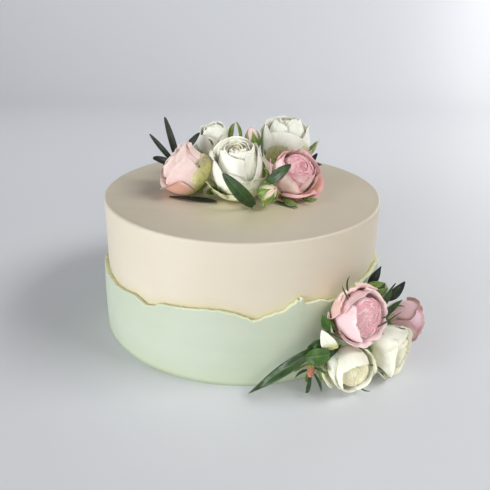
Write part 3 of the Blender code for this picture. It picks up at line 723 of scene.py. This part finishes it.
def petal_grid(flower, ring, azimuth, rng):
    """A petal's grid of points, with its place along and across for each."""
    up, across = grid(ring.rows, ring.cols)
    up = 1.0 - (1.0 - up) ** 1.3
    outline = 1.0 - ring.round * np.abs(across) ** 2.4 - ring.point * np.abs(across)
    outline = outline + ring.ragged * ripple(rng, 6, 5.0 * across)
    share = PETAL_START + (1.0 - PETAL_START) * up * outline
    reach, rise = cup(share, ring.radius * flower.radius, flower.height, ring.lip, ring.top)
    step_out = np.diff(reach, axis=0)
    step_up = np.diff(rise, axis=0)
    strength = 1.0 + 0.35 * ripple(rng, 3, 2.0 * across)
    turned = np.radians(ring.roll) * strength * ease((up[1:] - ring.curl) / (1.0 - ring.curl)) * 1.7
    rolled_out = step_out * np.cos(turned) + step_up * np.sin(turned)
    rolled_up = step_up * np.cos(turned) - step_out * np.sin(turned)
    reach = np.cumsum(np.concatenate((reach[:1], rolled_out)), axis=0)
    rise = np.cumsum(np.concatenate((rise[:1], rolled_up)), axis=0)
    size = flower.radius
    lifted = ease((share - 0.35) / 0.65)
    reach = reach + size * ring.tuck * across * share
    reach = reach + size * ring.side * ease((np.abs(across) - 0.55) / 0.45) * lifted
    reach = reach + size * ring.wave * ripple(rng, 4, 3.4 * across, 1.4 * up) * lifted
    rise = rise + size * 0.6 * ring.wave * ripple(rng, 4, 3.0 * across) * lifted
    narrow = 0.45 + 0.55 * ease(share / 0.55)
    turn = azimuth + across * math.radians(ring.half) * narrow
    reach = np.maximum(reach, 0.01 * size)
    points = placed(flower, turn, reach, rise)
    return points, up, across


def add_petals(shape, flower):
    rng = random.Random(flower.name)
    for ring in flower.rings:
        for number in range(ring.count):
            azimuth = math.radians(ring.start + 360.0 * number / ring.count)
            if ring.count > 1:
                azimuth += rng.uniform(-0.12, 0.12)
            rows, along, across = petal_grid(flower, ring, azimuth, rng)
            tint = min(1, max(0, ring.tint + rng.uniform(-0.06, 0.1)))
            bloom = (tint, 1.0 - min(1, ring.radius), rng.random(), ring.green)
            shell(shape, rows, PETAL_THICKNESS, along, across, bloom)
    if flower.cushion:
        add_cushion(shape, flower)


def add_cushion(shape, flower):
    """The tightly folded petals under the ruffles, as one domed sheet just below their lips."""
    lip, top_out, top_in, depth = flower.cushion
    share = np.linspace(0.02, 1, 15)[:, None]
    across = np.linspace(-1, 1, 61)[None, :]
    crease = 0.02 * np.sin(31.0 * across * math.pi + 9.0 * share) * share
    reach = flower.radius * lip * share + 0.0 * across
    rise = flower.height * mix(top_in, top_out, share) - flower.radius * (depth - crease)
    points = placed(flower, math.pi * across + 0.0 * share, reach[::-1], rise[::-1])
    shell(shape, points, PETAL_THICKNESS, 0.5, 0, (0, 0.55, 0.5, 0))


def add_sepals(shape, flower):
    rng = random.Random(flower.name + "_sepals")
    up, across = grid(15, 5)
    size = flower.radius
    for number in range(5):
        azimuth = math.radians(15.0 + 72.0 * number + rng.uniform(-8, 8))
        along = 0.06 + 0.4 * up * (1.0 + flower.sepal_lift)
        reach, rise = cup(along, size, flower.height, 0.9, 1)
        away = rng.uniform(0.5, 1.6)
        reach = reach + 0.07 * size * up ** 0.5 + 0.1 * away * size * up ** 3
        half = 0.13 * size * (1.0 - up) ** 0.75 * (1.0 + 0.25 * np.sin(9.0 * up)) + 0.0002
        lifted = rise - 0.0007 + 0.03 * size * np.abs(across) * up
        turn = azimuth + across * half / reach + 0.18 * away * up ** 2
        points = placed(flower, turn, reach, lifted, SEPAL_CLEARANCE)
        shell(shape, points, LEAF_THICKNESS, up, across, (0.5, 0, rng.random(), 1))


def add_stem(shape, start, item, radius, rng, foot=None):
    """A stalk from the cream to the bloom or leaf it carries."""
    if foot is None and "top" in item.name:
        foot = (*start[:2], CAKE_HEIGHT + GAP)
    elif foot is None:
        share = (BAND_RADIUS + GAP) / math.hypot(*start[:2])
        foot = (*(start[:2] * share), start[2])
    line = mix(np.array(foot), start, np.linspace(0, 1, 7)[:, None])
    tube(shape, line, np.linspace(1, 1.45, 7) * radius, 10, (0.5, 0, rng.random(), 1))


def add_calyx(shape, bloom, stalk, rng):
    """The green cup under the petals, and the stalk."""
    radii = np.array([0.02, 0.2, 0.3, 0.3, 0.2, 0.1]) * bloom.radius
    heights = np.array([-0.1, -0.07, -0.01, 0.05, 0.09, 0.1]) * bloom.height
    line = under(bloom, 0.5) + heights[:, None] * local_axes(bloom.axis)[0]
    tube(shape, line, radii, 14, (0.5, 0, 0.5, 1))
    add_stem(shape, under(bloom, 0.42), bloom, stalk, rng)


def add_flower(flower, looks):
    shape = Shape()
    add_petals(shape, flower)
    slot = "pink_petal" if "pink" in flower.petals else "white_petal"
    shape.finish(flower.name + "_petals", looks[flower.petals], slot, flower.name)
    greens = Shape()
    add_sepals(greens, flower)
    add_calyx(greens, flower, ROSE_STALK, random.Random(flower.name + "_stem"))
    greens.finish(flower.name + "_greens", looks["sepal_green"], "leaf")


# Leaves

Leaf = namedtuple("Leaf", "name base tip width arch facing colour blunt wave stalk",
                  defaults=(0.5, 0.05, True))
LEAVES = (
    Leaf("leaf_top_tall", (-50, 8, 119), (-59, 9.5, 152.8), 5, 0.1, (0.2, -1, 0.2), "dark_leaf", 0.9),
    Leaf("leaf_top_slim", (-52.5, 7.5, 118), (-70.9, 9, 140), 3.8, 0.08,
         (0.1, -1, 0.3), "dark_leaf", 0.9),
    Leaf("leaf_top_left", (-53, 13, 112), (-69.1, 7.5, 122), 8, 0.1, (0.1, -0.6, 0.9), "dark_leaf", 0.9),
    Leaf("leaf_top_back_left", (-47, 10, 124), (-33.3, 11, 141.2), 4.8, 0.05,
         (-0.2, -1, 0.3), "dark_leaf", 0.9),
    Leaf("leaf_top_front", (8, -44, 103.5), (-13, -49, 127.8), 9.4, 0.16,
         (-0.1, -1, 0.35), "leaf_green", 0.9),
    Leaf("leaf_top_front_right", (18, -45, 120.9), (32, -47.5, 134.2), 7.2, 0.1,
         (-0.2, -1, 0.35), "leaf_green", 0.8, stalk=False),
    Leaf("leaf_top_low_left", (-18, -33, 102), (-53.5, -24, 102), 6, 0,
         (0, -0.2, 1), "dark_leaf", 0.2, stalk=False),
    Leaf("leaf_top_low_right", (23.5, -30, 102), (38.9, -42.4, 102), 3.8, 0,
         (0, -0.2, 1), "leaf_green", stalk=False),
    Leaf("leaf_top_right", (48, 6, 115), (56.6, 10, 127.2), 4.6, 0.06, (-0.3, -1, 0.4), "dark_leaf"),
    Leaf("leaf_top_back_right", (42, 42, 104), (66, 46, 108), 10, 0.1, (0.1, -0.4, 0.9), "leaf_green"),
    Leaf("leaf_top_back", (2, 33, 104), (6, 62, 106), 10, 0.12, (0, -0.3, 1), "leaf_green"),
    Leaf("leaf_side_long", (51.5, -115, 39), (6.7, -119, 2.5), 7.4, 0.04,
         (-0.25, -1, 0.55), "leaf_green", 0, 0.2),
    Leaf("leaf_side_round", (56.5, -119, 34), (41, -120, 31.8), 11, 0.06,
         (-0.1, -1, 0.25), "fresh_leaf", 1, 0.1),
    Leaf("leaf_side_rear", (88, -66, 53), (96.6, -62.5, 67.7), 6.2, 0.08,
         (-0.1, -1, 0.2), "dark_leaf", -0.5),
    Leaf("leaf_side_right", (99, -74, 47), (112.1, -70, 60), 7.4, 0.1, (0.2, -1, 0.3), "dark_leaf", 0.1),
    Leaf("leaf_side_between", (78.8, -91.5, 27.8), (87.8, -98, 21.2), 5, 0.06,
         (0.2, -0.9, 0.6), "fresh_leaf"),
    Leaf("leaf_side_left", (60.3, -103.2, 40), (51.8, -107, 54.9), 8, 0.06,
         (-0.5, -1, 0.2), "fresh_leaf", 0.4, stalk=False),
    Leaf("petal_scrap_side", (60.2, -114.2, 34.8), (50.9, -115, 49), 9.5, 0.22,
         (-0.3, -1, 0.2), "cool_white", 0.6, stalk=False),
)


# Where the stalks of the leaves at the left of the side bunch meet the band.
BUNCH_HUB = (0.0612, -0.092, 0.033)
FROM_HUB = ("leaf_side_long", "leaf_side_round")


LEAF_SLOTS = {"cool_white": "white_petal", "dark_leaf": "dark_leaf"}


def add_leaf(leaf, looks):
    rng = random.Random(leaf.name)
    base = leaf.base
    run = leaf.tip - base
    length = np.linalg.norm(run)
    ahead = run / length
    facing = np.asarray(leaf.facing, float)
    facing = unit(facing - ahead * facing.dot(ahead))
    side = np.cross(ahead, facing)
    up, across = grid(33, 11)
    taper = np.sin(math.pi * np.minimum(0.04 + 0.955 * up, 0.995) ** 0.9) ** (1.0 - 0.5 * leaf.blunt)
    half = 0.5 * leaf.width * taper + 0.00015
    bow = leaf.arch * length * np.sin(math.pi * up)
    wave = leaf.wave * leaf.width * np.sin(2.5 * math.pi * up)
    fold = 0.16 * half * np.abs(across) ** 0.8
    crimp = 0.00014 * np.sin(11.0 * TAU * up - 2.6 * np.abs(across)) * np.abs(across)
    crimp = crimp * (0.3 if leaf.colour == "dark_leaf" else 1)
    lift = bow + fold + wave * across + crimp
    points = (base + run * up[..., None] + side * (half * across)[..., None]
              + facing * lift[..., None])
    points = kept_clear(points, leaf, LEAF_CLEARANCE)
    shape = Shape()
    shell(shape, points, LEAF_THICKNESS, up, across, (0.1, 0, rng.random(), 0.15))
    if leaf.stalk:
        start = base + run * 0.06
        hub = BUNCH_HUB if leaf.name in FROM_HUB else None
        add_stem(shape, start, leaf, LEAF_STALK, rng, hub)
    slot = LEAF_SLOTS.get(leaf.colour, "leaf")
    shape.finish(leaf.name + "_blade", looks[leaf.colour], slot, leaf.name)


# Buds

Bud = namedtuple("Bud", "name heart axis radius height colour cover wedge flare")
BUDS = (
    Bud("pink_bud_top", (6.6, 24, 134.5), (-0.15, 0, 1), 6.2, 18, "deep_pink", 0.78, None, 0.02),
    Bud("green_bud_top", (18.2, -43.4, 113.5), (0.53, -0.62, 0.58), 7.4, 14, "bud_cream", 0.93, 100, 0),
    Bud("small_bud_side", (46.1, -113, 14.1), (-0.25, -0.88, -0.32), 5.8, 14, "salmon_tip", 0.8, None, 0.9),
    Bud("green_bud_side", (91.2, -75.5, 55.1), (0.76, -0.1, 0.52), 6.8, 18, "bud_skin", 1, None, 0),
)
BUD_CORE = ((0.00, -0.04), (0.55, 0.03), (0.92, 0.24), (0.98, 0.48), (0.76, 0.74), (0.36, 0.93),
            (0.04, 1.00))


def bud_profile(share):
    """A bud's distance from its axis and height at a share of the way from base to tip."""
    fine = np.linspace(0, 1, 121)
    smooth = []
    for values in zip(*BUD_CORE):
        values = np.interp(fine, np.linspace(0, 1, len(BUD_CORE)), values)
        for _ in range(5):
            values[1:-1] = (values[:-2] + values[1:-1] + values[2:]) / 3.0
        smooth.append(values)
    return np.interp(share, fine, smooth[0]), np.interp(share, fine, smooth[1])


def add_bud(bud, looks):
    rng = random.Random(bud.name)
    up, across = grid(25, 17)
    shape = Shape()
    plump, squat = (0.88, 1) if bud.flare < 0.5 else (0.44, 0.66)
    for number in range(4):
        azimuth = math.radians(90.0 * number + 20)
        share = 0.08 + 0.91 * up * (1.0 - 0.1 * np.abs(across) ** 2.5)
        reach, rise = bud_profile(share)
        reach = (plump - 0.03 * number) * reach * bud.radius + 0.06 * bud.radius * across * up
        turn = azimuth + across * math.radians(72) + 0.5 * up
        points = placed(bud, turn, np.maximum(reach, 0.0001), rise * bud.height * squat)
        shell(shape, points, PETAL_THICKNESS, up, across, (0.3, 0.2, rng.random(), 0))
    shape.finish(bud.name + "_petals", looks[bud.colour], "bud_green", bud.name)
    greens = Shape()
    up, across = grid(25, 11)
    for number in range(5):
        azimuth = math.radians(15.0 + 72.0 * number + rng.uniform(-6, 6))
        share = 0.04 + 0.93 * bud.cover * up
        reach, rise = bud_profile(share)
        half = math.radians(40) * (1.0 - ease((up - 0.45) / 0.55) * 0.88)
        if bud.wedge is not None:
            gap = (math.degrees(azimuth) - bud.wedge + 180) % 360.0 - 180.0
            if abs(gap) < 36.0:
                azimuth += math.radians(math.copysign(9, gap))
                half = 0.75 * half
        away = bud.flare * rng.uniform(0.7, 1.1)
        narrow = 1.0 - 0.75 * min(1, bud.flare)
        reach = 0.97 * reach * bud.radius + 0.0003
        reach = reach + 0.03 * bud.radius * (1.0 - across ** 2) + 0.00012 * (number % 2)
        reach = reach + 1.7 * away * bud.radius * up ** 1.6
        lifted = rise * bud.height * (1.0 - 0.55 * min(1, away) * up ** 1.5)
        points = placed(bud, azimuth + across * half * narrow, reach, lifted, LEAF_CLEARANCE)
        shell(greens, points, LEAF_THICKNESS, up, across, (0.5, 0, rng.random(), 0))
    add_calyx(greens, bud, BUD_STALK, rng)
    greens.finish(bud.name + "_sepals", looks["bud_skin"], "bud_green")


# Thin sepals and twigs in the gaps of both bunches, in mm: the width, then the start, middle and end.
TOP_SPRIGS = (
    (1.3, 15, 8, 124, 13.5, 6, 137.6, 15.8, 8, 149.2),
    (4.2, -9.9, 24, 130, -9.9, 22, 140.4, -6.9, 22, 146.6),
    (2.6, -2.1, 22, 130, -2.9, 20, 140.9, -6.1, 22, 147.8),
    (1.4, -23.6, 16, 128.3, -24.7, 15, 133.2, -27.4, 16, 135.2),
    (2.2, 14.5, -22, 115, 15, -24, 124.7, 13.4, -24, 129.8),
    (2.2, 16.6, -28, 115, 17.7, -30, 122.2, 14.8, -30, 126.5),
    (2.6, 48.6, 18, 126.4, 52.9, 16, 130.4, 56.7, 18, 134.7),
    (5.2, -20, -12, 103, -23.5, -24, 106.2, -26.5, -33, 107.2),
    (4.6, -18.5, -15, 103, -20.8, -26.2, 109.2, -22.2, -33, 114.5),
    (4.6, 15, -20, 103, 17.2, -30, 108.5, 18, -37, 113),
    (4, 28, -26, 103, 33.5, -37, 103.6, 39.5, -42.5, 104),
    (4, 44, -24, 103, 48, -33, 104.5, 53, -35, 106.2),
)
SIDE_SPRIGS = (
    (1, 70.3, -100, 62, 65.7, -104, 74.1, 66.4, -106, 82.1),
    (0.8, 69, -101, 61, 64.5, -106, 70.3, 61.8, -108, 76.2),
    (0.9, 86.8, -100, 41.5, 92.2, -106, 50, 101.3, -104, 56.3),
    (0.9, 90.4, -98, 47.9, 94.7, -100, 50.7, 96.7, -98, 54),
    (1, 85.2, -108, 18.3, 90.7, -110, 17.5, 97.3, -108, 9.8),
    (1.2, 96, -78, 49, 100.2, -80, 59.5, 103.6, -78, 63),
    (1.2, 98.5, -78, 47, 103.7, -80, 58.8, 106.8, -78, 59.3),
    (1, 65.1, -110, 38.5, 57.6, -116, 46.9, 53.2, -112, 46.4),
    (1, 77, -108, 6, 80, -115, 4.5, 85, -117, 4.5),
    (4.5, 92.9, -84, 46.3, 96.1, -86, 55.2, 99.6, -84, 62.4),
    (4, 97, -84, 40.1, 100.6, -87, 49, 107.4, -84, 53.5),
    (4, 91.4, -78, 47.4, 93.3, -80, 56.3, 96.3, -78, 62.8),
    (4, 65.2, -104, 29.9, 59.6, -108, 27.9, 56.8, -106, 18.6),
    (1.8, 45, -110, 15, 40, -112.5, 15.2, 36.2, -115, 12.5),
    (1.8, 49, -110, 12, 52.2, -114, 8, 53.5, -116.5, 3),
    (1.6, 47, -109.5, 12, 45.2, -113, 6.5, 43.8, -115.5, 1.5),
    (1.6, 49, -110, 16.5, 52.5, -113.5, 17.8, 55.2, -116, 16),
    (6, 59.5, -106, 32.3, 48.9, -116, 39.4, 42.4, -112, 30.4),
    (1.8, 47, -106, 15, 45, -119, 8, 43, -116, 1.6),
)


def add_sprigs(name, sprigs, material):
    rng = random.Random(name)
    shape = Shape()
    up, across = grid(19, 7)
    for width, *knots in sprigs:
        first, middle, last = MM * np.reshape(knots, (3, 3))
        bend = 2.0 * middle - 0.5 * (first + last)
        line = sum(w * p for w, p in zip(((1 - up) ** 2, 2 * up * (1 - up), up ** 2),
                                                  (first, bend, last)))
        ahead = unit(np.gradient(line, axis=0))
        facing = np.array((0.1, -1, 0.35))
        facing = unit(facing - ahead * (ahead @ facing)[:, None])
        side = np.cross(ahead, facing)
        half = 0.5 * MM * width * np.sin(math.pi * np.minimum(0.12 + 0.86 * up, 0.985)) + 0.0001
        points = (line[:, None] + side[:, None] * (half * across)[..., None]
                  + facing[:, None] * (0.3 * half * np.abs(across))[..., None])
        shell(shape, points, SPRIG_THICKNESS, up, across, (0.5, 0, rng.random(), 0))
    shape.finish(name, material, "leaf")


# Surroundings

def add_floor():
    """A seamless pale sheet: a floor that curves up well behind the cake."""
    look = Shader("pale_floor", 0.5)
    tone = look.noise(look.place(), 1.4, 3)
    look.tone = look.blend(tone, srgb(0xe0e2e6), srgb(0xe5e7eb))
    profile = [(-6, 0), (-1.5, 0), (0.5, 0)]
    profile += [(0.9 + FLOOR_BEND * math.sin(angle), FLOOR_BEND * (1.0 - math.cos(angle)))
                for angle in np.linspace(0, 0.98, 17)]
    points = [(x, y, z) for y, z in profile for x in (-6, 6)]
    faces = [(2 * k, 2 * k + 1, 2 * k + 3, 2 * k + 2) for k in range(len(profile) - 1)]
    mesh = bpy.data.meshes.new("floor")
    mesh.from_pydata(points, [], faces)
    mesh.materials.append(look.finished())
    mesh.shade_smooth()
    floor = linked("floor", mesh)


def add_light(name, place, power, colour=(1, 1, 1), target=(0, 0, 0.06), size=(0.9, 0.6)):
    light = bpy.data.lights.new(name, "AREA")
    light.shape = "RECTANGLE"
    light.size, light.size_y = size
    light.energy = power
    light.color = colour
    obj = linked(name, light)
    obj.location = place
    obj.rotation_euler = (Vector(target) - Vector(place)).to_track_quat("-Z", "Y").to_euler()


def add_lights():
    """A low window light from the front left, softer ones from the right, and a little from all round."""
    add_light("window", (-1.15, -1.15, 0.3), 20.2, (0.92, 0.95, 1))
    add_light("front", (0.1, -1.6, 0.3), 4.4, (1, 0.97, 0.85))
    add_light("right", (1.1, -0.2, 1.2), 15)
    add_light("rear", (1.1, 1.3, 0.55), 5)
    add_light("left_floor", (-0.9, 0.2, 1.3), 2.4, target=(-0.9, 0.2, 0), size=(0.5, 1.5))
    add_light("backdrop", (0, 0.35, 0.9), 5, (0.97, 0.98, 1), (0, 1.5, 0.35), (1.8, 0.3))
    world = bpy.data.worlds.new("studio")
    bpy.context.scene.world = world
    world.use_nodes = True
    nodes, links = world.node_tree.nodes, world.node_tree.links
    background = nodes["Background"]
    background.inputs["Color"].default_value = (0.97, 0.98, 1, 1)
    path, seen = nodes.new("ShaderNodeLightPath"), nodes.new("ShaderNodeMapRange")
    seen.inputs["To Min"].default_value, seen.inputs["To Max"].default_value = 0.115, 0.56
    links.new(path.outputs["Is Camera Ray"], seen.inputs["Value"])
    links.new(seen.outputs["Result"], background.inputs["Strength"])
    bpy.context.scene.view_settings.view_transform = "Standard"


def add_camera():
    data = bpy.data.cameras.new("camera")
    data.sensor_width, data.lens = CAMERA_SENSOR, CAMERA_LENS
    data.clip_start, data.clip_end = 0.01, 50.0
    camera = linked("camera", data)
    camera.matrix_world = (Matrix.Translation(CAMERA_PLACE)
                           @ Matrix.Rotation(0.5 * math.pi - CAMERA_ELEVATION, 4, "X")
                           @ Matrix.Rotation(CAMERA_ROLL, 4, "Z"))
    bpy.context.scene.camera = camera


def main():
    add_camera()
    add_cake()
    add_band()
    looks = {name: petal_shader(name) for name in PETAL_LOOKS}
    looks.update((name, green_shader(name)) for name in GREEN_LOOKS)
    for flower in FLOWERS:
        add_flower(metres(flower, "heart", "radius", "height"), looks)
    for bud in BUDS:
        add_bud(metres(bud, "heart", "radius", "height"), looks)
    for leaf in LEAVES:
        add_leaf(metres(leaf, "base", "tip", "width"), looks)
    add_sprigs("sprigs_top", TOP_SPRIGS, looks["sepal_green"])
    add_sprigs("sprigs_side", SIDE_SPRIGS, looks["leaf_green"])
    add_floor()
    add_lights()


main()
